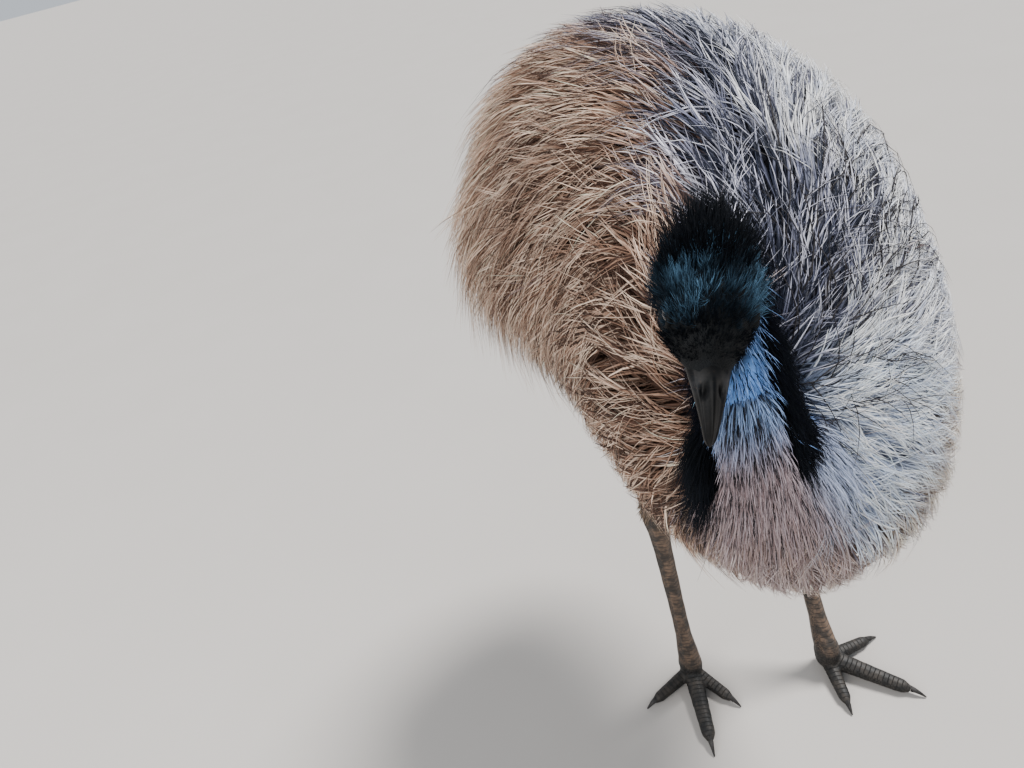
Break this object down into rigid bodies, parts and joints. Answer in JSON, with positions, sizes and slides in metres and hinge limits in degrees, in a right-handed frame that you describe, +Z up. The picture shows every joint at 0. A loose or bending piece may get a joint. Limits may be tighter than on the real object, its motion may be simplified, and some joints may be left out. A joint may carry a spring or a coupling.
{
  "type": "emu",
  "caption": "Life-size still model of a standing emu with its neck lowered and head turned to one side, in named body, neck, head, bill, leg, toe and claw pieces.",
  "frame": {"origin": "on the floor, under the middle of the bounding box", "axes": "+Z up; the bird faces -Y; +X is its left side"},
  "size_m": [0.5484, 0.8648, 1.0972],
  "materials": {
    "plumage": "long drooping two-shafted plumes, tan to grey brown with dark tips",
    "rump": "fine pale tan drooping plumes",
    "ruff": "pale pinkish grey hair-like feathers with black side ruffs",
    "neck_skin": "pale blue skin with sparse dark hair-like feathers",
    "head_down": "short black hair-like down with a blue tint",
    "bill": "horny dark grey brown with a blacker ridge",
    "eye": "wet, dark brown with a black pupil",
    "leg_scale": "small mottled scales, blue grey scutes on the toes",
    "claw": "worn dark horn"
  },
  "bodies": {
    "root": {"head": "head_down", "bill_upper": "bill", "bill_lower": "bill", "eye_left": "eye", "eye_right": "eye", "neck_upper": "neck_skin", "neck_lower": "ruff", "tail": "rump", "torso": "plumage", "thigh_right": "plumage", "tarsus_right": "leg_scale", "toe_middle_right": "leg_scale", "claw_middle_right": "claw", "toe_inner_right": "leg_scale", "claw_inner_right": "claw", "toe_outer_right": "leg_scale", "claw_outer_right": "claw", "thigh_left": "plumage", "tarsus_left": "leg_scale", "toe_middle_left": "leg_scale", "claw_middle_left": "claw", "toe_inner_left": "leg_scale", "claw_inner_left": "claw", "toe_outer_left": "leg_scale", "claw_outer_left": "claw"}
  },
  "joints": []
}
